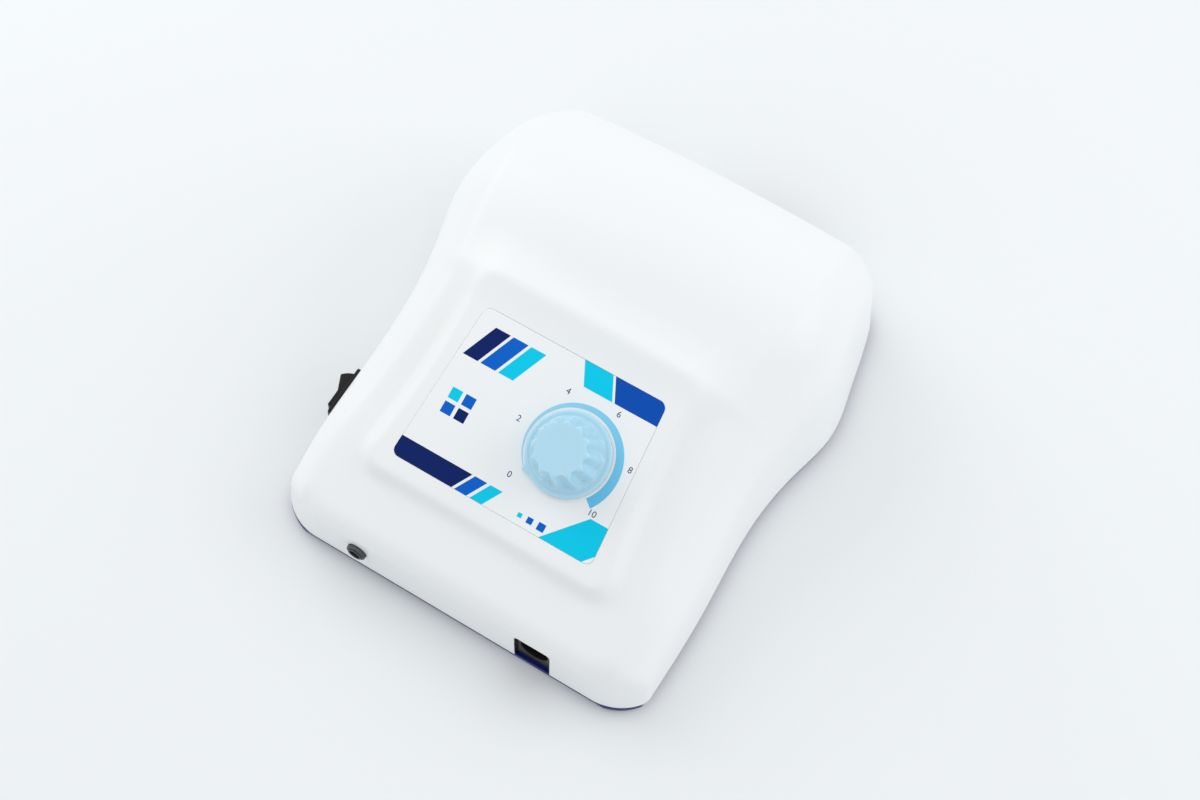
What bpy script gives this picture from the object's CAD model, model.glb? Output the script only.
import math
import bpy
import bmesh
import numpy as np
from mathutils import Matrix, Vector


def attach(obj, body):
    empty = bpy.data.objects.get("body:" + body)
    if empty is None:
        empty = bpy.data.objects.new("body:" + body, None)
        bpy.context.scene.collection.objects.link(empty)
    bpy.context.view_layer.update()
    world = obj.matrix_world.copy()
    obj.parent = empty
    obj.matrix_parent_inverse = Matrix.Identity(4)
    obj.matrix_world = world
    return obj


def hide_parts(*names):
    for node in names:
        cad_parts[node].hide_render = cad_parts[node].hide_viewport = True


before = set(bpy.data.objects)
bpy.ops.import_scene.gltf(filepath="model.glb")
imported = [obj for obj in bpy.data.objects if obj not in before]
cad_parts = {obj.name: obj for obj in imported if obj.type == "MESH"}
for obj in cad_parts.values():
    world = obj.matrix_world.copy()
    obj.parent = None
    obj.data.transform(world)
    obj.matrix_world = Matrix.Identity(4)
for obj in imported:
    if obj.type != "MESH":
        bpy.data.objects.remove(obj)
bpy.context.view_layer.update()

# Camera: the photograph looks down on the box from the front right, about 66 degrees above the horizon, with
# a short telephoto view. The picture is taken to be 1200 x 800, on a 36 mm wide sensor.
camera = bpy.data.objects.new("camera", bpy.data.cameras.new("camera"))
bpy.context.scene.collection.objects.link(camera)
camera.data.lens = 53.7
camera.data.sensor_width = 36.0
camera_place = (0.1541, -0.2408, 0.6500)
view_height, view_turn, view_roll = math.radians(66.02), math.radians(31.97), math.radians(-0.82)
camera_back = Vector((
    math.sin(view_turn) * math.cos(view_height),
    -math.cos(view_turn) * math.cos(view_height),
    math.sin(view_height),
))
level_right = Vector((math.cos(view_turn), math.sin(view_turn), 0.0))
level_up = camera_back.cross(level_right)
camera_right = level_right * math.cos(view_roll) + level_up * math.sin(view_roll)
camera_up = level_up * math.cos(view_roll) - level_right * math.sin(view_roll)
camera_axes = Matrix((camera_right, camera_up, camera_back)).transposed().to_4x4()
camera.matrix_world = Matrix.Translation(camera_place) @ camera_axes
bpy.context.scene.camera = camera

# Studio: a large flat sheet of pale paper under the box and an even pale sky round it, with one large soft lamp on
# the left and one behind on the right, so that the roof is a little lighter than the front wall.
bpy.context.scene.view_settings.view_transform = "Standard"
world = bpy.data.worlds.new("studio")
bpy.context.scene.world = world
world.use_nodes = True
sky = world.node_tree.nodes["Background"]
sky.inputs["Color"].default_value = (0.95, 0.97, 0.98, 1.0)
sky.inputs["Strength"].default_value = 0.80


def soft_light(name, place, power):
    """Square area lamp, one metre a side, at a place and facing the middle of the box."""
    target = Vector((0.0, 0.0, 0.03))
    lamp = bpy.data.objects.new(name, bpy.data.lights.new(name, "AREA"))
    lamp.data.energy = power
    lamp.data.size = 1.0
    lamp.location = place
    lamp.rotation_euler = (target - Vector(place)).to_track_quat("-Z", "Y").to_euler()
    bpy.context.scene.collection.objects.link(lamp)


soft_light("window", (-0.95, 0.25, 0.75), 4.2)
soft_light("far_window", (0.95, 0.6, 0.75), 4.0)

floor_half = 3.0
floor_corners = [(x * floor_half, y * floor_half, 0.0) for x, y in ((-1, -1), (1, -1), (1, 1), (-1, 1))]
floor_mesh = bpy.data.meshes.new("paper")
floor_mesh.from_pydata(floor_corners, [], [(0, 1, 2, 3)])
floor = bpy.data.objects.new("paper", floor_mesh)
bpy.context.scene.collection.objects.link(floor)
paper = bpy.data.materials.new("paper")
paper.use_nodes = True
floor_mesh.materials.append(paper)
paper_shader = paper.node_tree.nodes["Principled BSDF"]
paper_shader.inputs["Base Color"].default_value = (0.875, 0.895, 0.905, 1.0)
paper_shader.inputs["Roughness"].default_value = 0.9
paper_shader.inputs["Specular IOR Level"].default_value = 0.1


# Cover: one glossy white moulding with drafted walls, round shoulders, a humped roof and a raised pad for the
# label, screwed to the base plate from below. Its form is where a distance function is zero. Sizes are in
# millimetres; y runs back from the foot of the front wall and z up from the base plate.
mm = 0.001
front, base_level = -101.98, 4.5
body_length, body_half, crease_top, crown_top = 200.0, 87.5, 68.5, 4.0
side_lean, end_lean, shoulder_end = math.radians(7), math.radians(4), math.radians(150)
crease_round, front_rim, rear_rim, wall_thickness = 8.0, 10.0, 12.0, 3.0
stations = np.array((
    # shares of the sizes above: place, half width at the foot and at the crease, crease height, crown rise
    (-0.15, 0.923, 0.777, 0.182, 0.50),
    (0.0, 0.914, 0.760, 0.343, 0.50),
    (0.15, 0.921, 0.758, 0.518, 0.50),
    (0.245, 0.920, 0.724, 0.604, 0.55),
    (0.475, 0.909, 0.663, 0.847, 0.75),
    (0.59, 0.954, 0.680, 0.949, 0.88),
    (0.69, 1.0, 0.714, 1.0, 1.0),
    (0.80, 0.966, 0.726, 0.956, 1.0),
    (0.91, 0.914, 0.714, 0.759, 1.0),
    (1.0, 0.863, 0.680, 0.482, 0.88),
    (1.09, 0.834, 0.651, 0.197, 0.75),
))


def spline_at(places, values, at):
    """Natural cubic spline: a linear system gives the second derivatives, then each span is a cubic."""
    gap = np.diff(places)
    matrix, right = np.eye(len(places)), np.zeros(len(places))
    for i in range(1, len(places) - 1):
        matrix[i, i - 1:i + 2] = gap[i - 1], 2 * (gap[i - 1] + gap[i]), gap[i]
        right[i] = 6 * ((values[i + 1] - values[i]) / gap[i] - (values[i] - values[i - 1]) / gap[i - 1])
    bend = np.linalg.solve(matrix, right)
    i = np.clip(np.searchsorted(places, at) - 1, 0, len(gap) - 1)
    step = at - places[i]
    slope = (values[i + 1] - values[i]) / gap[i] - gap[i] * (2 * bend[i] + bend[i + 1]) / 6
    change = (bend[i + 1] - bend[i]) / (6 * gap[i])
    return values[i] + slope * step + bend[i] / 2 * step ** 2 + change * step ** 3


def section_distance(x, y, z):
    """Distance outside the cross-section at y, and its direction in that section: a drafted wall, a shoulder arc,
    a small crease arc and a crown arc, tangent to each other. A point asks the arc in whose sector it lies."""
    base, crease, height, rise = (spline_at(stations[:, 0], stations[:, k], y / body_length) for k in (1, 2, 3, 4))
    half, crease_x, crease_z, rise = base * body_half, crease * body_half, height * crease_top, rise * crown_top
    lean, start = math.tan(side_lean), math.pi / 2 + side_lean
    middle = (start + shoulder_end) / 2
    chord = (crease_x - half + crease_z * lean) / (math.sin(middle) * lean + math.cos(middle))
    shoulder_r = chord / (2 * math.sin((shoulder_end - start) / 2))
    wall_z = crease_z - chord * math.sin(middle)
    sx, sz = half - wall_z * lean - shoulder_r * math.sin(start), wall_z + shoulder_r * math.cos(start)
    roof_r = (crease_x ** 2 + rise ** 2) / (2 * rise)
    rz = crease_z + rise - roof_r
    gap = np.hypot(sx, sz - rz)
    along = ((shoulder_r - crease_round) ** 2 - (roof_r - crease_round) ** 2 + gap ** 2) / (2 * gap)
    across = np.sqrt((shoulder_r - crease_round) ** 2 - along ** 2)
    ux, uz = -sx / gap, (rz - sz) / gap
    ex, ez = sx + along * ux - across * uz, sz + along * uz + across * ux
    ax = np.abs(x)
    turn = np.arctan2(z - ez, ax - ex)
    on_roof = turn > np.arctan2(ez - rz, ex)
    on_shoulder = turn < np.arctan2(ez - sz, ex - sx)
    kx = np.where(on_roof, 0.0, np.where(on_shoulder, sx, ex))
    kz = np.where(on_roof, rz, np.where(on_shoulder, sz, ez))
    kr = np.where(on_roof, roof_r, np.where(on_shoulder, shoulder_r, crease_round))
    reach = np.hypot(ax - kx, z - kz)
    nx, nz = (ax - kx) / reach, (z - kz) / reach
    on_wall = on_shoulder & (np.arctan2(nz, nx) < side_lean)
    wall = (ax - half) * math.cos(side_lean) + z * math.sin(side_lean)
    distance = np.where(on_wall, wall, reach - kr)
    deep = on_shoulder & (nx < 0)
    distance = np.where(deep, np.maximum(wall, np.hypot(ax, z - rz) - roof_r), distance)
    return distance, np.where(on_wall, math.cos(side_lean), nx), np.where(on_wall, math.sin(side_lean), nz)


def rounded(a, b, c, r):
    """Distance outside the meeting of two forms whose edge is rounded by r: a and b are the distances outside each
    and c is the cosine between their directions. In the corner it is the distance from the rounding's axis."""
    a, b = a + r, b + r
    inside = (a > b * c) & (b > a * c)
    corner = np.sqrt(np.maximum(a * a + b * b - 2 * a * b * c, 0) / np.maximum(1 - c * c, 0.02))
    return np.where(inside, corner, np.maximum(a, b)) - r


rounding_top = 30.0
plan_ends = (
    # place and direction of an end, its corner radius at the foot and the growth of that with the height, and two
    # points on the flank beside it
    (0.0, -1.0, 22.0, 0.4, (79.4, 0.0), (92.4, 60.0)),
    (body_length, 1.0, 22.0, 0.0, (73.0, 200.0), (95.4, 150.0)),
)


def plan_distance(x, y, z):
    """Distance outside the plan: a straight front and rear with rounded corners and two leaning flanks on each
    side, which only the corners use; also its direction. The corner radius grows evenly up to a set height."""
    ax, height = np.abs(x), np.clip(z, 0, rounding_top)
    result = None
    for end, out, foot_r, growth, (fx, fy), (gx, gy) in plan_ends:
        corner_r = foot_r + growth * height
        span = math.hypot(gx - fx, gy - fy)
        nx, ny = abs(gy - fy) / span, out * (gx - fx) / span
        a, b = (y - end) * out, (ax - fx) * nx + (y - fy) * ny
        c = ny * out
        value = rounded(a, b, c, corner_r)
        deep_a, deep_b = a + corner_r, b + corner_r
        share = np.clip((deep_a - c * deep_b) / np.maximum(deep_a + deep_b, 1), 0, 1)
        blend = np.where(deep_a < c * deep_b, 0.0, np.where(deep_b < c * deep_a, 1.0, share))
        dx, dy = nx * (1 - blend), ny * (1 - blend) + out * blend
        size = np.hypot(dx, dy)
        found = (value, dx / size, dy / size)
        result = found if result is None else tuple(
            np.where(y > body_length / 2, new, old) for new, old in zip(found, result)
        )
    return result


pad_back, pad_up, pad_tilt, pad_flare = 62.0, 52.0, math.radians(18.4), math.radians(40)
pad_front, pad_rear, pad_front_half, pad_waist, pad_rear_half = -38.9, 44.4, 52.0, 45.85, 46.7
pad_corner, pad_edge, pad_depth = 8.0, 2.5, 9.0


def pad_distance(x, y, z):
    """Distance outside the raised pad: the plan of the pad, with sides drawn in by one long arc, flares downwards
    under a flat sloping top with a rounded edge."""
    back, up = y - pad_back, z - pad_up
    v, w = back * math.cos(pad_tilt) + up * math.sin(pad_tilt), up * math.cos(pad_tilt) - back * math.sin(pad_tilt)
    mid = (pad_front + pad_rear) / 2
    on_side = ((pad_front_half, pad_front), (pad_waist, mid), (pad_rear_half, pad_rear))
    matrix = np.array([(2 * side, 2 * place, 1) for side, place in on_side])
    squares = np.array([side ** 2 + place ** 2 for side, place in on_side])
    cx, cv, power = np.linalg.solve(matrix, squares)
    arc_r = math.sqrt(power + cx * cx + cv * cv)
    side = arc_r - np.hypot(np.abs(x) - cx, v - cv)
    ends = np.abs(v - mid) - (pad_rear - pad_front) / 2
    outline = rounded(side, ends, 0.0, pad_corner)
    flank = (outline + w * math.tan(pad_flare)) * math.cos(pad_flare)
    return np.maximum(rounded(flank, w, math.sin(pad_flare), pad_edge), -w - pad_depth)


pad_fillet, run_out_fillet, run_out_start, run_out_length = 1.6, 10.0, 82.0, 22.0


def cover_distance(x, y, z):
    """Distance outside the cover: the section and the plan meet in a rounded rim, and the pad runs into them
    through a fillet, narrow at its front and sides and wide where it runs out in the roof."""
    side, sx, sz = section_distance(x, y, z)
    step = 0.5
    slope = (section_distance(x, y + step, z)[0] - section_distance(x, y - step, z)[0]) / (2 * step)
    steep = np.sqrt(1 + slope ** 2)
    plan, px, py = plan_distance(x, y, z)
    end = (plan + z * math.tan(end_lean)) * math.cos(end_lean)
    alike = ((sx * px + slope * py) * math.cos(end_lean) + sz * math.sin(end_lean)) / steep
    rim = np.where(y > body_length / 2, rear_rim, front_rim)
    body = rounded(side / steep, end, np.clip(alike, -0.5, 0.97), rim)
    raised = pad_distance(x, y, z)
    fillet = pad_fillet + run_out_fillet * np.clip((y - run_out_start) / run_out_length, 0, 1) ** 2
    return np.minimum(body, raised) - np.maximum(fillet - np.abs(body - raised), 0) ** 2 / (4 * fillet)


def cover_grid(count, inset):
    """Points of the cover on a square grid: each lies on a ray from the middle of the floor through a plain box
    with a sloping roof, where halving finds the place at which the distance is the inset below the surface. A
    place that stands off from all four neighbours takes their median."""
    box_middle, box_half_width, box_half_length, roof_share, stray = 100.0, 84.0, 97.0, 0.64, 1.1
    ray_foot, ray_reach, halvings = 105.0, 1.5, 22
    line = np.linspace(-1, 1, count + 1)
    s, t = np.meshgrid(line, line, indexing="ij")
    ring = np.maximum(np.maximum(np.abs(s), np.abs(t)), 1e-9)
    out = np.minimum(ring / roof_share, 1.0)
    fall = np.clip((1 - ring) / (1 - roof_share), 0, 1)
    x, y = s / ring * out * box_half_width, box_middle + t / ring * out * box_half_length
    z = spline_at(stations[:, 0], stations[:, 3], np.clip(y / body_length, 0.02, 0.98)) * crease_top * fall
    ray = np.stack((x, y - ray_foot, z), -1)
    near, far = np.zeros(s.shape), np.full(s.shape, ray_reach)
    for _ in range(halvings):
        middle = (near + far) / 2
        tried = ray * middle[..., None]
        inside = cover_distance(tried[..., 0], ray_foot + tried[..., 1], tried[..., 2]) < -inset
        near, far = np.where(inside, middle, near), np.where(inside, far, middle)
    span = np.linalg.norm(ray, axis=-1)
    core = near[1:-1, 1:-1]
    around = np.stack((near[:-2, 1:-1], near[2:, 1:-1], near[1:-1, :-2], near[1:-1, 2:]))
    apart = np.abs(core - around).min(axis=0) * span[1:-1, 1:-1] > stray
    near[1:-1, 1:-1] = np.where(apart, np.median(around, axis=0), core)
    return ray * near[..., None] + np.array((0.0, ray_foot + front, base_level))


def grid_faces(rows, columns, closed=False, start=0, flip=False):
    """Four-cornered faces between the neighbours of a grid of rows x columns vertices, closed on itself sideways
    if asked."""
    index = np.arange(rows * columns).reshape(rows, columns) + start
    if closed:
        index = np.concatenate((index, index[:, :1]), 1)
    faces = np.stack((index[:-1, :-1], index[1:, :-1], index[1:, 1:], index[:-1, 1:]), -1).reshape(-1, 4)
    return faces[:, ::-1] if flip else faces


sharp_edge = math.radians(35)


def mesh_object(name, points, faces):
    """Mesh object from points in millimetres, smooth shaded except at edges sharper than the angle."""
    mesh = bpy.data.meshes.new(name)
    mesh.from_pydata((np.asarray(points, float).reshape(-1, 3) * mm).tolist(), [], [list(map(int, f)) for f in faces])
    mesh.validate()
    built = bpy.data.objects.new(name, mesh)
    bpy.context.scene.collection.objects.link(built)
    mesh.shade_smooth()
    mesh.set_sharp_from_angle(angle=sharp_edge)
    return built


def merged(piece):
    """Merges the points that fall together, as at a pole, and drops the faces that vanish there."""
    work = bmesh.new()
    work.from_mesh(piece.data)
    bmesh.ops.remove_doubles(work, verts=work.verts, dist=0.0005 * mm)
    work.to_mesh(piece.data)
    work.free()
    piece.data.shade_smooth()
    piece.data.set_sharp_from_angle(angle=sharp_edge)
    return piece


def rounded_cutter(origin, right, out, width, depth, low, high, corner):
    """Upright prism with a rounded rectangle as its plan: the four corner arcs in turn, at two heights."""
    steps = 9
    angle = np.linspace(0, math.pi / 2, steps)
    turns = np.concatenate([angle + quarter * math.pi / 2 for quarter in range(4)])
    sign_x = np.repeat((1, -1, -1, 1), steps)
    sign_y = np.repeat((1, 1, -1, -1), steps)
    x = sign_x * (width / 2 - corner) + corner * np.cos(turns)
    y = sign_y * (depth / 2 - corner) + corner * np.sin(turns)
    right, out = np.array(right, float), np.array(out, float)
    up = np.cross(out, right)
    ring = np.array(origin, float) + x[:, None] * right + y[:, None] * up
    points = np.concatenate((ring + low * out, ring + high * out))
    count = len(ring)
    side = grid_faces(2, count, closed=True, flip=True)
    caps = [list(range(count))[::-1], list(range(count, 2 * count))]
    return merged(mesh_object("cutter", points, [list(f) for f in side] + caps))


def cut(piece, *cutters):
    """Takes the cutters out of a piece, one after the other, and removes them."""
    for cutter in cutters:
        modifier = piece.modifiers.new("cut", "BOOLEAN")
        modifier.operation = "DIFFERENCE"
        modifier.solver = "MANIFOLD"
        modifier.object = cutter
        bpy.context.view_layer.update()
        result = bpy.data.meshes.new_from_object(piece.evaluated_get(bpy.context.evaluated_depsgraph_get()))
        piece.modifiers.clear()
        piece.data = result
        bpy.data.objects.remove(cutter)
    piece.data.shade_smooth()
    piece.data.set_sharp_from_angle(angle=sharp_edge)


def rim_ring(count):
    """Indices round the edge of a square grid of count + 1 vertices a side, in order."""
    index = np.arange((count + 1) ** 2).reshape(count + 1, count + 1)
    return np.concatenate((index[:-1, 0], index[-1, :-1], index[:0:-1, -1], index[0, :0:-1]))


outer_count, inner_count = 200, 100
outer_points = cover_grid(outer_count, 0.0).reshape(-1, 3)
inner_points = cover_grid(inner_count, wall_thickness).reshape(-1, 3)
outer_points[:, 2] = np.maximum(outer_points[:, 2], base_level)
inner_points[rim_ring(inner_count), 2] = base_level
outer_ring, inner_ring = rim_ring(outer_count), rim_ring(inner_count) + len(outer_points)
rim_faces = [
    [inner_ring[k], inner_ring[(k + 1) % len(inner_ring)], outer_ring[(2 * k + 2) % len(outer_ring)],
     outer_ring[2 * k + 1], outer_ring[2 * k]]
    for k in range(len(inner_ring))
]
cover_faces = (
    [list(f) for f in grid_faces(outer_count + 1, outer_count + 1)]
    + [list(f) for f in grid_faces(inner_count + 1, inner_count + 1, start=len(outer_points), flip=True)]
    + rim_faces
)
cover = mesh_object("cover", np.concatenate((outer_points, inner_points)), cover_faces)

# Openings of the cover, moulded or cut in it: a pocket with a hole for the rocker switch, the notch for the
# handpiece socket, holes for the jack, the potentiometer, the fuse holder and the mains inlet, and the shallow
# tapered pocket that the label lies in.
to_right = (1.0, 0.0, 0.0)
label_out = (0.0, -math.sin(pad_tilt), math.cos(pad_tilt))
# Each working plane is its origin, its direction to the right and its direction out of the cover.
front_wall = ((0.0, front, base_level), to_right, (0.0, -math.cos(end_lean), math.sin(end_lean)))
rear_wall = (
    (0.0, front + body_length, base_level), (-1.0, 0.0, 0.0), (0.0, math.cos(end_lean), math.sin(end_lean))
)
switch_back, switch_half = stations[3, 0] * body_length, stations[3, 1] * body_half
left_wall = (
    (-switch_half, front + switch_back, base_level),
    (0.0, -1.0, 0.0), (-math.cos(side_lean), 0.0, math.sin(side_lean)),
)
plane_below_pad = 0.01
label_plane = ((0.0, front + pad_back, base_level + pad_up - plane_below_pad), to_right, label_out)
knob_spot, switch_spot, jack_spot, socket_spot = (15.9, -0.8), (0.0, 17.0), (-40.7, 12.5), (36.0, 4.4)
inlet_spot, inlet_screw_spots, fuse_spot = (-22.0, 15.0), ((-42.0, 15.0), (-2.0, 15.0)), (44.0, 15.0)
label_taper = 0.00167


def spot(plane, x, y, height=0.0):
    """Place on a working plane: so far right and up along it, and so far out of it."""
    origin, right, out = (np.array(part, float) for part in plane)
    return origin + x * right + y * np.cross(out, right) + height * out


def opening(plane, place, width, depth, low, high, corner):
    """Cutter with round corners standing on a working plane."""
    return rounded_cutter(spot(plane, *place), plane[1], plane[2], width, depth, low, high, corner)


pocket = opening(label_plane, (0.0, 0.0), 80.9, 64.0, -0.4, 3.0, 3.0)
vertices = np.array([v.co for v in pocket.data.vertices]) / mm
along = (vertices - spot(label_plane, 0, 0)) @ np.cross(label_out, to_right)
vertices[:, 0] *= 1 - along * label_taper
pocket.data.vertices.foreach_set("co", (vertices * mm).ravel())
cut(
    cover,
    pocket,
    opening(label_plane, knob_spot, 7.2, 7.2, -6.0, 2.0, 3.6),
    opening(left_wall, switch_spot, 21.2, 15.2, -0.6, 6.0, 1.6),
    opening(left_wall, switch_spot, 19.2, 13.2, -9.0, 2.0, 0.4),
    opening(front_wall, socket_spot, 15.3, 28.8, -7.0, 3.0, 2.0),
    opening(front_wall, jack_spot, 6.2, 6.2, -7.0, 3.0, 3.1),
    opening(rear_wall, inlet_spot, 27.8, 20.8, -7.0, 3.0, 0.6),
    *(opening(rear_wall, place, 3.2, 3.2, -7.0, 3.0, 1.6) for place in inlet_screw_spots),
    opening(rear_wall, fuse_spot, 12.2, 12.2, -7.0, 3.0, 6.1),
)

# Screw bosses: square posts of the same moulding, which hang from the roof and stand on the base plate, and which
# the four case screws bite into. Halving finds how far up each corner of a post may go in the cover.
boss_x, boss_y = np.array((-64.0, 64.0, -58.0, 58.0)), np.array((19.0, 19.0, 181.0, 181.0))
boss_half, boss_cover = 4.5, 1.5
foot_x = boss_x[:, None] + boss_half * np.array((-1, 1, 1, -1))
foot_y = boss_y[:, None] + boss_half * np.array((-1, -1, 1, 1))
low, high = np.zeros(foot_x.shape), np.full(foot_x.shape, 80.0)
for _ in range(20):
    level = (low + high) / 2
    within = cover_distance(foot_x, foot_y, level) < -boss_cover
    low, high = np.where(within, level, low), np.where(within, high, level)
foot = np.stack((foot_x, foot_y + front, np.full(foot_x.shape, base_level)), -1)
top = np.stack((foot_x, foot_y + front, low + base_level), -1)
boss_points = np.stack((foot, top), 1).reshape(-1, 3)
post = np.array(((0, 3, 2, 1), (4, 5, 6, 7), (0, 1, 5, 4), (1, 2, 6, 5), (2, 3, 7, 6), (3, 0, 4, 7)))
bosses = mesh_object("cover_bosses", boss_points, np.concatenate([post + 8 * k for k in range(4)]))

# Finish of the cover and its bosses: glossy white plastic. A broad cloud and a fine grain, which every moulded or
# rolled surface here reads at its own scale, drift its tone and its gloss and lift it a little.
grain = bpy.data.node_groups.new("grain", "ShaderNodeTree")
grain.interface.new_socket("Place", in_out="INPUT", socket_type="NodeSocketVector")
grain.interface.new_socket("Cloud Scale", in_out="INPUT", socket_type="NodeSocketFloat")
grain.interface.new_socket("Grain Scale", in_out="INPUT", socket_type="NodeSocketFloat")
grain.interface.new_socket("Cloud", in_out="OUTPUT", socket_type="NodeSocketFloat")
grain.interface.new_socket("Grain", in_out="OUTPUT", socket_type="NodeSocketFloat")
grain_in, grain_out = grain.nodes.new("NodeGroupInput"), grain.nodes.new("NodeGroupOutput")
for scale, output, detail in (("Cloud Scale", "Cloud", 3.0), ("Grain Scale", "Grain", 5.0)):
    noise = grain.nodes.new("ShaderNodeTexNoise")
    noise.inputs["Detail"].default_value = detail
    grain.links.new(grain_in.outputs["Place"], noise.inputs["Vector"])
    grain.links.new(grain_in.outputs[scale], noise.inputs["Scale"])
    grain.links.new(noise.outputs["Fac"], grain_out.inputs[output])


def surface(name, light, dark, gloss, scales, bump, stretch=(1.0, 1.0, 1.0), metal=0.0, coat=0.0, shine_level=0.5):
    """Material of one finish: the cloud drifts its colour from dark to light and its roughness over the range in
    gloss, and the fine grain lifts the surface. Stretch draws the grain out, as brushing or rolling does."""
    made = bpy.data.materials.new(name)
    made.use_nodes = True
    nodes, links = made.node_tree.nodes, made.node_tree.links
    shader = nodes["Principled BSDF"]
    shader.inputs["Metallic"].default_value = metal
    shader.inputs["Coat Weight"].default_value = coat
    shader.inputs["Specular IOR Level"].default_value = shine_level
    shader.inputs["Coat Roughness"].default_value = 0.08
    place = nodes.new("ShaderNodeTexCoord")
    mapping = nodes.new("ShaderNodeMapping")
    mapping.inputs["Scale"].default_value = stretch
    effect = nodes.new("ShaderNodeGroup")
    effect.node_tree = grain
    effect.inputs["Cloud Scale"].default_value, effect.inputs["Grain Scale"].default_value = scales
    tone = nodes.new("ShaderNodeMix")
    tone.name, tone.data_type = "tone", "RGBA"
    tone.inputs["A"].default_value, tone.inputs["B"].default_value = (*dark, 1.0), (*light, 1.0)
    shine = nodes.new("ShaderNodeMapRange")
    shine.inputs["From Min"].default_value, shine.inputs["From Max"].default_value = 0.3, 0.7
    shine.inputs["To Min"].default_value, shine.inputs["To Max"].default_value = gloss
    relief = nodes.new("ShaderNodeBump")
    relief.inputs["Strength"].default_value = bump
    relief.inputs["Distance"].default_value = 0.0002
    links.new(place.outputs["Object"], mapping.inputs["Vector"])
    links.new(mapping.outputs["Vector"], effect.inputs["Place"])
    links.new(effect.outputs["Cloud"], tone.inputs["Factor"])
    links.new(effect.outputs["Cloud"], shine.inputs["Value"])
    links.new(effect.outputs["Grain"], relief.inputs["Height"])
    links.new(tone.outputs["Result"], shader.inputs["Base Color"])
    links.new(shine.outputs["Result"], shader.inputs["Roughness"])
    links.new(relief.outputs["Normal"], shader.inputs["Normal"])
    return made


def dress(piece, finish, body="housing"):
    """Gives a new piece its material, its place in the record's finishes and the body that it moves with."""
    piece.data.materials.clear()
    piece.data.materials.append(finish)
    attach(piece, body)


white_gloss = surface(
    "white_moulding", light=(0.905, 0.915, 0.92), dark=(0.885, 0.9, 0.908), gloss=(0.34, 0.42),
    scales=(18.0, 900.0), bump=0.03,
)
dress(cover, white_gloss)
dress(bosses, white_gloss)
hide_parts("upper_shell")


# Base plate: satin navy moulding under the cover, with round edges, ribs and board pillars. Four soft rubber feet
# are stuck under it, and four countersunk steel screws come up through it into the bosses.
def softened(name, width, finish, body="housing", move_rim=None):
    """Copy of a CAD piece whose loose triangles are merged into flat faces and whose edges get a bevel of a width.
    If asked, its points are moved first by a function of their places."""
    sharp = math.radians(32)
    work = bmesh.new()
    work.from_mesh(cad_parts[name].data)
    bmesh.ops.remove_doubles(work, verts=work.verts, dist=0.002 * mm)
    bmesh.ops.dissolve_limit(work, angle_limit=math.radians(1), verts=work.verts, edges=work.edges)
    data = bpy.data.meshes.new(name + "_finished")
    work.to_mesh(data)
    work.free()
    if move_rim:
        places = np.array([v.co for v in data.vertices]) / mm
        data.vertices.foreach_set("co", (move_rim(places) * mm).ravel())
    piece = bpy.data.objects.new(name + "_finished", data)
    bpy.context.scene.collection.objects.link(piece)
    data.shade_smooth()
    bevel = piece.modifiers.new("edges", "BEVEL")
    bevel.width, bevel.segments, bevel.limit_method = width * mm, 2, "ANGLE"
    bevel.angle_limit = sharp
    bevel.harden_normals = True
    data.set_sharp_from_angle(angle=sharp)
    dress(piece, finish, body)
    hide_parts(name)


def rim_to_cover(places):
    """Moves the points of the plate's rim down the slope of the cover's distance until they end proud of its foot
    along the front and behind it at the sides and the rear, with an even change between the two."""
    proud, behind, corner_run, near_rim, step = 0.3, 0.4, 15.0, 0.3, 0.5
    moved, foot = places.copy(), np.zeros(len(places))
    x, y = places[:, 0], places[:, 1] - front
    slope_x = (cover_distance(x + step, y, foot) - cover_distance(x - step, y, foot)) / (2 * step)
    slope_y = (cover_distance(x, y + step, foot) - cover_distance(x, y - step, foot)) / (2 * step)
    outside = cover_distance(x, y, foot)
    gap = (proud + behind) * np.clip(y / corner_run, 0, 1) - proud
    inwards = np.where(outside > -near_rim, outside + gap, 0)
    moved[:, 0] -= slope_x * inwards
    moved[:, 1] -= slope_y * inwards
    return moved


def paint(finish, *names):
    """Puts a material on the slots of CAD pieces that stay as they are."""
    for name in names:
        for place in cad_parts[name].material_slots:
            place.material = finish


navy = surface(
    "navy_moulding", light=(0.004, 0.010, 0.165), dark=(0.003, 0.007, 0.120), gloss=(0.3, 0.42),
    scales=(25.0, 1400.0), bump=0.12, shine_level=0.2,
)
rubber = surface(
    "black_rubber", light=(0.035, 0.035, 0.037), dark=(0.022, 0.022, 0.024), gloss=(0.7, 0.85),
    scales=(60.0, 2500.0), bump=0.3,
)
steel = surface(
    "bright_steel", light=(0.62, 0.62, 0.63), dark=(0.50, 0.50, 0.51), gloss=(0.22, 0.36),
    scales=(80.0, 2200.0), bump=0.08, stretch=(1.0, 1.0, 6.0), metal=1.0,
)
softened("base_plate", 0.35, navy, move_rim=rim_to_cover)
softened("rubber_feet", 0.5, rubber)
paint(steel, "case_screws")


# Label: printed film, stuck in the pocket of the pad. The print has slanted bars, squares and a band of colour,
# and a speed arc that widens clockwise round the knob.
def node_group(name, inputs, outputs):
    """Empty node group with float sockets; a first input called Place is a vector."""
    made = bpy.data.node_groups.new(name, "ShaderNodeTree")
    for label in inputs:
        kind = "NodeSocketVector" if label == "Place" else "NodeSocketFloat"
        made.interface.new_socket(label, in_out="INPUT", socket_type=kind)
    for label in outputs:
        made.interface.new_socket(label, in_out="OUTPUT", socket_type="NodeSocketFloat")
    return made, made.nodes.new("NodeGroupInput").outputs, made.nodes.new("NodeGroupOutput").inputs


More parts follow.
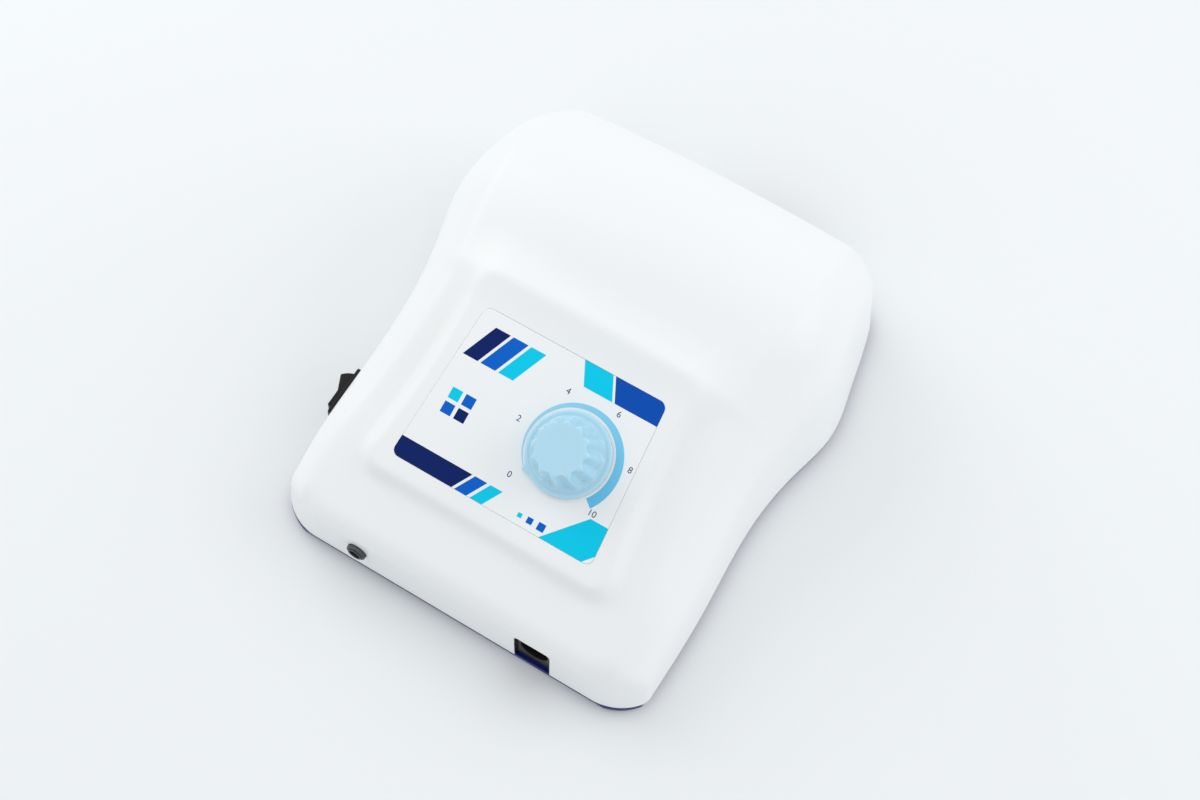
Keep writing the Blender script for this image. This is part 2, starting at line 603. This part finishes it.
def maths(tree, operation, *values):
    """Math node whose inputs are plain numbers or other sockets."""
    node = tree.nodes.new("ShaderNodeMath")
    node.operation = operation
    for socket, value in zip(node.inputs, values):
        if isinstance(value, (int, float)):
            socket.default_value = value
        else:
            tree.links.new(value, socket)
    return node.outputs["Value"]


slanted_block, block_in, block_out = node_group(
    "slanted_block", ("Place", "Across", "Up", "Half Width", "Half Height", "Slant"), ("Mask",)
)
block_place = slanted_block.nodes.new("ShaderNodeSeparateXYZ")
slanted_block.links.new(block_in["Place"], block_place.inputs["Vector"])
rise = maths(slanted_block, "SUBTRACT", block_place.outputs["Y"], block_in["Up"])
shift = maths(slanted_block, "MULTIPLY", rise, block_in["Slant"])
straight = maths(slanted_block, "SUBTRACT", block_place.outputs["X"], shift)
in_width = maths(slanted_block, "COMPARE", straight, block_in["Across"], block_in["Half Width"])
in_height = maths(slanted_block, "COMPARE", block_place.outputs["Y"], block_in["Up"], block_in["Half Height"])
slanted_block.links.new(maths(slanted_block, "MULTIPLY", in_width, in_height), block_out["Mask"])

speed_arc, arc_in, arc_out = node_group("speed_arc", ("Place", "Start", "Sweep", "Inner", "Width"), ("Mask", "Along"))
arc_place = speed_arc.nodes.new("ShaderNodeSeparateXYZ")
speed_arc.links.new(arc_in["Place"], arc_place.inputs["Vector"])
angle = maths(speed_arc, "ARCTAN2", arc_place.outputs["Y"], arc_place.outputs["X"])
from_start = maths(speed_arc, "SUBTRACT", arc_in["Start"], angle)
wrapped = maths(speed_arc, "FLOORED_MODULO", from_start, 2 * math.pi)
share = maths(speed_arc, "DIVIDE", wrapped, arc_in["Sweep"])
square_x = maths(speed_arc, "POWER", arc_place.outputs["X"], 2.0)
square_y = maths(speed_arc, "POWER", arc_place.outputs["Y"], 2.0)
radius = maths(speed_arc, "SQRT", maths(speed_arc, "ADD", square_x, square_y))
least_breadth = 0.25
breadth = maths(speed_arc, "MULTIPLY_ADD", share, arc_in["Width"], least_breadth)
beyond = maths(speed_arc, "SUBTRACT", radius, arc_in["Inner"])
below_rim = maths(speed_arc, "LESS_THAN", beyond, breadth)
past_inner = maths(speed_arc, "GREATER_THAN", beyond, 0.0)
in_ring = maths(speed_arc, "MULTIPLY", below_rim, past_inner)
in_arc = maths(speed_arc, "MULTIPLY", in_ring, maths(speed_arc, "LESS_THAN", share, 1.0))
speed_arc.links.new(in_arc, arc_out["Mask"])
speed_arc.links.new(share, arc_out["Along"])

film = surface(
    "printed_film", light=(0.91, 0.925, 0.932), dark=(0.895, 0.912, 0.922), gloss=(0.3, 0.4),
    scales=(20.0, 1200.0), bump=0.03, shine_level=0.12,
)
film_nodes, film_links = film.node_tree.nodes, film.node_tree.links


def on_label(u, v):
    """Vector in millimetres on the label, from the place (u, v) on it."""
    place = film_nodes.new("ShaderNodeTexCoord")
    mapping = film_nodes.new("ShaderNodeMapping")
    mapping.vector_type = "TEXTURE"
    mapping.inputs["Location"].default_value = spot(label_plane, u, v) * mm
    mapping.inputs["Rotation"].default_value = (pad_tilt, 0.0, 0.0)
    mapping.inputs["Scale"].default_value = (mm, mm, mm)
    film_links.new(place.outputs["Object"], mapping.inputs["Vector"])
    return mapping.outputs["Vector"]


def print_over(ground, mask, colour):
    """Lays a printed colour over what is on the label so far, where the mask is 1, and gives the result."""
    layer = film_nodes.new("ShaderNodeMix")
    layer.data_type = "RGBA"
    film_links.new(mask, layer.inputs["Factor"])
    film_links.new(ground, layer.inputs["A"])
    if isinstance(colour, tuple):
        layer.inputs["B"].default_value = (*colour, 1.0)
    else:
        film_links.new(colour, layer.inputs["B"])
    return layer.outputs["Result"]


cyan, azure, royal, ink = (0.0, 0.60, 0.84), (0.0, 0.12, 0.60), (0.0, 0.075, 0.44), (0.001, 0.014, 0.125)
printed = film_nodes["tone"].outputs["Result"]
label_middle = on_label(0, 0)
for *sizes, colour in (
    # across, up, half width, half height, slant, colour
    (-31.0, 19.5, 3.2, 7.0, 0.45, ink),
    (-23.4, 19.5, 3.2, 7.0, 0.45, azure),
    (-15.8, 19.5, 3.2, 7.0, 0.45, cyan),
    (33.0, 27.6, 14.0, 4.6, -0.5, royal),
    (12.0, 27.6, 6.0, 4.6, -0.5, cyan),
    (-30.0, -28.2, 16.0, 4.0, 0.6, ink),
    (-10.2, -28.2, 2.6, 4.0, 0.6, azure),
    (-3.6, -28.2, 2.6, 4.0, 0.6, cyan),
    (36.0, -25.0, 9.0, 8.0, 0.9, cyan),
    (20.0, -28.4, 1.5, 1.5, 0.0, azure),
    (15.2, -28.4, 1.2, 1.2, 0.0, azure),
    (11.0, -28.4, 0.9, 0.9, 0.0, cyan),
    (-32.0, -2.0, 2.2, 2.2, 0.0, cyan),
    (-26.2, -2.0, 2.2, 2.2, 0.0, azure),
    (-32.0, -7.8, 2.2, 2.2, 0.0, azure),
    (-26.2, -7.8, 2.2, 2.2, 0.0, ink),
):
    block = film_nodes.new("ShaderNodeGroup")
    block.node_tree = slanted_block
    film_links.new(label_middle, block.inputs["Place"])
    for socket, value in zip(("Across", "Up", "Half Width", "Half Height", "Slant"), sizes):
        block.inputs[socket].default_value = value
    printed = print_over(printed, block.outputs["Mask"], colour)
dial_start, dial_sweep, arc_inner, arc_width = -133.0, 266.0, 17.0, 3.7
arc = film_nodes.new("ShaderNodeGroup")
arc.node_tree = speed_arc
film_links.new(on_label(*knob_spot), arc.inputs["Place"])
arc.inputs["Start"].default_value = math.radians(dial_start)
arc.inputs["Sweep"].default_value = math.radians(dial_sweep)
arc.inputs["Inner"].default_value = arc_inner
arc.inputs["Width"].default_value = arc_width
deepening = film_nodes.new("ShaderNodeMix")
deepening.data_type = "RGBA"
deepening.inputs["A"].default_value = (0.42, 0.75, 0.90, 1.0)
deepening.inputs["B"].default_value = (0.13, 0.55, 0.85, 1.0)
film_links.new(arc.outputs["Along"], deepening.inputs["Factor"])
printed = print_over(printed, arc.outputs["Mask"], deepening.outputs["Result"])
film_links.new(printed, film_nodes["Principled BSDF"].inputs["Base Color"])
paint(film, "control_label")

# Dial numbers: dark ink from 0 to 10 round the speed arc, printed on the film. Its face lies a tenth of a millimetre
# over the label's plane, and the ink stands less than two hundredths proud of it.
number_radius, number_size, ink_depth, ink_level = 22.9, 3.4, 0.02, 0.10
dark_print = surface(
    "dark_print", light=(0.012, 0.02, 0.16), dark=(0.008, 0.015, 0.12), gloss=(0.3, 0.4),
    scales=(200.0, 3000.0), bump=0.02,
)
label_turn = Matrix((to_right, np.cross(label_out, to_right), label_out)).transposed().to_4x4()
for number in range(0, 11, 2):
    turn = math.radians(dial_start - dial_sweep / 10 * number)
    across, up = knob_spot[0] + number_radius * math.cos(turn), knob_spot[1] + number_radius * math.sin(turn)
    centre = spot(label_plane, across, up, ink_level)
    curve = bpy.data.curves.new("number", "FONT")
    curve.body = str(number)
    curve.size, curve.extrude, curve.align_x, curve.align_y = number_size * mm, ink_depth * mm, "CENTER", "CENTER"
    text = bpy.data.objects.new("number", curve)
    bpy.context.scene.collection.objects.link(text)
    bpy.context.view_layer.update()
    data = bpy.data.meshes.new_from_object(text.evaluated_get(bpy.context.evaluated_depsgraph_get()))
    data.transform(Matrix.Translation(Vector(centre * mm)) @ label_turn)
    bpy.data.objects.remove(text)
    piece = bpy.data.objects.new(f"dial_number_{number}", data)
    bpy.context.scene.collection.objects.link(piece)
    dress(piece, dark_print)


# Speed knob: light blue translucent plastic with a scalloped, tapered grip on a wide skirt. A nib on the skirt
# points at the arc. It is pressed on the steel shaft of the potentiometer, which a nut clamps under the roof.
knob_lift, knob_columns = 0.7, 360
flutes, flute_bite, nib_reach, nib_half_angle = 12, 1.8, 1.9, 8.0
skirt_steps = np.array((
    # radius, height over the skirt's foot, share of the flute's depth, share of the nib's reach
    (0.0, 14.5, 0, 0), (3.02, 14.5, 0, 0), (3.02, 5.5, 0, 0), (9.0, 5.5, 0, 0), (9.0, 0.0, 0, 0), (15.6, 0.0, 0, 1),
    (15.85, 0.1, 0, 1), (16.0, 0.4, 0, 1), (16.0, 1.1, 0, 1), (15.93, 1.4, 0, 1), (15.7, 1.65, 0, 0.95),
    (15.35, 1.78, 0, 0.6), (14.9, 1.8, 0, 0.2), (14.3, 1.8, 0, 0),
))
# The foot of the grip is a hollow rounding of 1.3 and its top edge a rounding of 1.5, in the same four columns.
rise = np.linspace(0, 1, 9)
edge_turn = rise * math.radians(82)
foot_steps = np.stack((
    14.4 - 1.3 * np.sin(edge_turn), 3.1 - 1.3 * np.cos(edge_turn), 0.85 * rise ** 1.5, 0 * rise,
), -1)
top_steps = np.stack((
    9.4 + 1.5 * np.cos(edge_turn), 15.5 + 1.5 * np.sin(edge_turn), 1 - 0.75 * rise ** 3, 0 * rise,
), -1)
grip = np.linspace(0, 1, 12)[1:-1, None]
grip_steps = foot_steps[-1] * (1 - grip) + top_steps[0] * grip
face_steps = np.array(((9.0, 17.0, 0.12, 0), (8.2, 16.97, 0, 0), (4.0, 16.9, 0, 0), (0.0, 16.88, 0, 0)))
knob_profile = np.concatenate((skirt_steps, foot_steps, grip_steps, top_steps, face_steps))


def fluted(profile, count):
    """Points of a turned profile whose radius dips by a blunt cosine at each flute and swells by a peak at the
    nib: one row for each step of the profile and one column for each angle."""
    angle = np.linspace(0, 2 * math.pi, count, endpoint=False)
    dip = flute_bite * (0.5 + 0.5 * np.cos(flutes * angle)) ** 0.9
    from_nib = np.abs((angle - math.radians(dial_start) + math.pi) % (2 * math.pi) - math.pi)
    swell = nib_reach * np.clip(1 - from_nib / math.radians(nib_half_angle), 0, 1)
    radius = profile[:, :1] - profile[:, 2:3] * dip + profile[:, 3:4] * swell
    return np.stack((radius * np.cos(angle), radius * np.sin(angle), np.repeat(profile[:, 1:2], count, 1)), -1)


def placed(points, plane, x, y, height=0.0):
    """Carries points from their own axes to a place on a working plane."""
    right, out = (np.array(part, float) for part in plane[1:])
    return points @ np.stack((right, np.cross(out, right), out)) + spot(plane, x, y, height)


knob = merged(mesh_object(
    "speed_knob_finished", placed(fluted(knob_profile, knob_columns), label_plane, *knob_spot, knob_lift),
    grid_faces(len(knob_profile), knob_columns, closed=True, flip=True),
))
pale_blue = surface(
    "pale_blue_plastic", light=(0.49, 0.755, 0.90), dark=(0.45, 0.725, 0.875), gloss=(0.2, 0.28),
    scales=(60.0, 1800.0), bump=0.04, coat=0.2,
)
knob_shader = pale_blue.node_tree.nodes["Principled BSDF"]
knob_shader.inputs["Subsurface Weight"].default_value = 0.25
knob_shader.inputs["Subsurface Radius"].default_value = (0.5, 0.8, 1.0)
knob_shader.inputs["Subsurface Scale"].default_value = 0.002
dress(knob, pale_blue, "knob")
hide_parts("speed_knob")
nickel = surface(
    "nickel_plate", light=(0.72, 0.71, 0.68), dark=(0.60, 0.59, 0.57), gloss=(0.16, 0.28),
    scales=(120.0, 2500.0), bump=0.05, metal=1.0,
)
tin = surface(
    "tinned_metal", light=(0.74, 0.74, 0.73), dark=(0.60, 0.60, 0.59), gloss=(0.3, 0.45),
    scales=(150.0, 1800.0), bump=0.08, metal=1.0,
)
paint(steel, "pot_body", "pot_shaft")
paint(nickel, "pot_bushing", "pot_washer", "pot_nut")
paint(tin, "pot_terminals")

# Rocker switch: satin black moulded case snapped into the left wall, with a rocker that tips on two pins and
# tinned push-on blades at its back.
black = surface(
    "satin_black", light=(0.016, 0.016, 0.017), dark=(0.009, 0.009, 0.01), gloss=(0.3, 0.42),
    scales=(60.0, 1600.0), bump=0.15, shine_level=0.25,
)
softened("switch_bezel", 0.35, black)
softened("switch_rocker", 0.45, black, "rocker")
paint(tin, "switch_terminals")


# Pedal jack: dark nickel-plated sleeve with a round knurled nut outside the front wall, and a black body inside.
# Sleeve and nut are turned forms.
def turned(name, profile, plane, place, columns=96, ribs=0, rib_depth=0.0):
    """Closed profile of radius, height and share of the ribs, carried round an axis that stands on a working
    plane; the ribs make the radius rise and fall as a cosine round it."""
    angle = np.linspace(0, 2 * math.pi, columns, endpoint=False)
    wave = rib_depth * (0.5 - 0.5 * np.cos(ribs * angle))
    profile = np.array(profile)
    radius = profile[:, :1] - profile[:, 2:3] * wave
    points = np.stack((radius * np.cos(angle), radius * np.sin(angle), np.repeat(profile[:, 1:2], columns, 1)), -1)
    faces = grid_faces(len(profile), columns, closed=True, flip=True)
    return merged(mesh_object(name, placed(points, plane, *place), faces))


nut_profile = (
    (3.05, 1.6, 0), (3.05, 0.0, 0), (3.8, 0.0, 0), (4.0, 0.2, 1), (4.0, 1.4, 1), (3.75, 1.75, 0.3), (3.3, 1.8, 0),
    (3.05, 1.6, 0),
)
sleeve_profile = (
    (2.3, 2.1, 0), (2.1, -3.0, 0), (3.0, -3.0, 0), (3.0, 2.1, 0), (2.85, 2.3, 0), (2.5, 2.3, 0), (2.3, 2.1, 0),
)
nut_ring = turned(
    "pedal_jack_nut_finished", nut_profile, front_wall, jack_spot, columns=160, ribs=32, rib_depth=0.18
)
sleeve = turned("pedal_jack_sleeve_finished", sleeve_profile, front_wall, jack_spot)
dark_nickel = surface(
    "dark_nickel", light=(0.13, 0.14, 0.14), dark=(0.08, 0.085, 0.085), gloss=(0.32, 0.45),
    scales=(120.0, 2500.0), bump=0.08, metal=1.0,
)
dress(nut_ring, dark_nickel)
dress(sleeve, dark_nickel)
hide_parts("pedal_jack_nut")
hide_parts("pedal_jack_sleeve")
paint(black, "pedal_jack_body")

# Handpiece socket: black moulding that fills the notch in the front wall, with a thin lining round it. Its four
# nickel-plated contacts are soldered to a small board behind it.
softened("handpiece_socket", 0.3, black)
lining = opening(front_wall, socket_spot, 15.24, 28.74, -2.9, -0.15, 1.97)
lining.name = "socket_lining"
cut(
    lining,
    opening(front_wall, socket_spot, 14.7, 28.2, -5.0, 2.0, 1.7),
    opening(front_wall, (socket_spot[0], -15.0), 20.0, 30.4, -6.0, 3.0, 0.1),
)
dress(lining, black)
board_green = surface(
    "green_board", light=(0.035, 0.25, 0.09), dark=(0.02, 0.15, 0.055), gloss=(0.25, 0.4),
    scales=(500.0, 2500.0), bump=0.15,
)
paint(nickel, "handpiece_contacts")
paint(board_green, "socket_board")

# Mains inlet: black moulding in the rear wall with three nickel-plated pins, held by two cross-slotted steel
# screws and their nuts.
softened("mains_inlet", 0.4, black)
softened("inlet_pins", 0.25, nickel)
inlet_screw_profile = (
    (0.0, -4.4, 0), (1.5, -4.4, 0), (1.5, 3.0, 0), (2.7, 3.0, 0), (2.8, 3.2, 0), (2.6, 4.1, 0), (2.0, 4.6, 0),
    (1.0, 4.78, 0), (0.0, 4.8, 0),
)
for side, place in zip(("left", "right"), inlet_screw_spots):
    inlet_screw = turned(f"inlet_screw_{side}", inlet_screw_profile, rear_wall, place)
    for width, depth in ((3.4, 0.7), (0.7, 3.4)):
        cut(inlet_screw, opening(rear_wall, place, width, depth, 3.4, 6.0, 0.1))
    dress(inlet_screw, steel)
    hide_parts("inlet_screws")
paint(steel, "inlet_nuts")

# Fuse holder: black moulded barrel through the rear wall, clamped by a nut, with a ribbed and slotted cap that
# turns in it with the glass fuse.
holder_profile = (
    (3.7, 1.4, 0), (3.7, -26.0, 0), (0.0, -26.0, 0), (0.0, -27.0, 0), (6.0, -27.0, 0), (6.0, 0.0, 0), (7.4, 0.0, 0),
    (7.6, 0.2, 0), (7.6, 1.2, 0), (7.3, 1.5, 0), (6.9, 1.6, 0), (3.9, 1.6, 0), (3.7, 1.4, 0),
)
cap_profile = (
    (0.0, -2.6, 0), (2.6, -2.6, 0), (2.6, -4.1, 0), (3.4, -4.1, 0), (3.4, 1.9, 0), (6.2, 1.9, 0), (6.6, 2.3, 1),
    (6.6, 5.4, 1), (6.3, 6.0, 0.6), (5.8, 6.3, 0), (0.0, 6.3, 0),
)
holder = turned("fuse_holder_finished", holder_profile, rear_wall, fuse_spot)
cap = turned("fuse_cap_finished", cap_profile, rear_wall, fuse_spot, columns=144, ribs=24, rib_depth=0.35)
cut(cap, opening(rear_wall, fuse_spot, 14.0, 1.2, 5.3, 7.0, 0.1))
dress(holder, black)
dress(cap, black, "fuse_carrier")
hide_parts("fuse_holder")
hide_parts("fuse_cap")
paint(black, "fuse_holder_nut")
tube_glass = surface(
    "fuse_glass", light=(0.78, 0.82, 0.82), dark=(0.70, 0.75, 0.76), gloss=(0.05, 0.12),
    scales=(90.0, 900.0), bump=0.02, coat=0.6,
)
paint(tube_glass, "mains_fuse")

# Transformer: stacked and varnished laminations with a taped winding on a nylon bobbin. A bent steel strap and
# two screws hold it down on the base plate.
laminated = surface(
    "varnished_laminations", light=(0.24, 0.24, 0.25), dark=(0.07, 0.065, 0.06), gloss=(0.35, 0.6),
    scales=(40.0, 60.0), bump=0.4, stretch=(1.0, 45.0, 1.0), metal=0.8,
)
nylon = surface(
    "natural_nylon", light=(0.80, 0.77, 0.68), dark=(0.74, 0.71, 0.62), gloss=(0.4, 0.55),
    scales=(60.0, 1600.0), bump=0.1,
)
yellow_tape = surface(
    "winding_tape", light=(0.78, 0.56, 0.08), dark=(0.66, 0.44, 0.05), gloss=(0.2, 0.35),
    scales=(60.0, 300.0), bump=0.2, stretch=(1.0, 1.0, 8.0),
)
paint(laminated, "transformer_core")
paint(nylon, "transformer_bobbin")
paint(yellow_tape, "transformer_coil")
paint(steel, "transformer_clamp", "transformer_screws")

# Circuit board: green board staked on the pillars of the base plate, with the soldered parts of the supply and
# the motor control. The power transistor is screwed to a black anodised sink.
can_sleeve = surface(
    "sleeved_can", light=(0.02, 0.035, 0.12), dark=(0.012, 0.02, 0.08), gloss=(0.15, 0.25),
    scales=(50.0, 900.0), bump=0.05,
)
anodised = surface(
    "black_anodised", light=(0.035, 0.035, 0.037), dark=(0.02, 0.02, 0.022), gloss=(0.35, 0.5),
    scales=(60.0, 1200.0), bump=0.15, stretch=(1.0, 1.0, 0.2), metal=0.6,
)
ceramic = surface(
    "white_ceramic", light=(0.82, 0.79, 0.71), dark=(0.74, 0.71, 0.63), gloss=(0.6, 0.75),
    scales=(120.0, 1500.0), bump=0.3,
)
blue_box = surface(
    "blue_moulding", light=(0.035, 0.12, 0.38), dark=(0.025, 0.09, 0.3), gloss=(0.3, 0.42),
    scales=(80.0, 1500.0), bump=0.1,
)
green_box = surface(
    "green_moulding", light=(0.05, 0.32, 0.14), dark=(0.035, 0.25, 0.11), gloss=(0.35, 0.5),
    scales=(80.0, 1500.0), bump=0.1,
)
paint(board_green, "circuit_board")
paint(black, "bridge_rectifier", "power_transistor", "control_ic")
paint(can_sleeve, "filter_capacitors")
paint(anodised, "heat_sink")
paint(steel, "transistor_screw")
paint(green_box, "terminal_blocks")
paint(ceramic, "power_resistor")
paint(blue_box, "relay", "trim_pot")
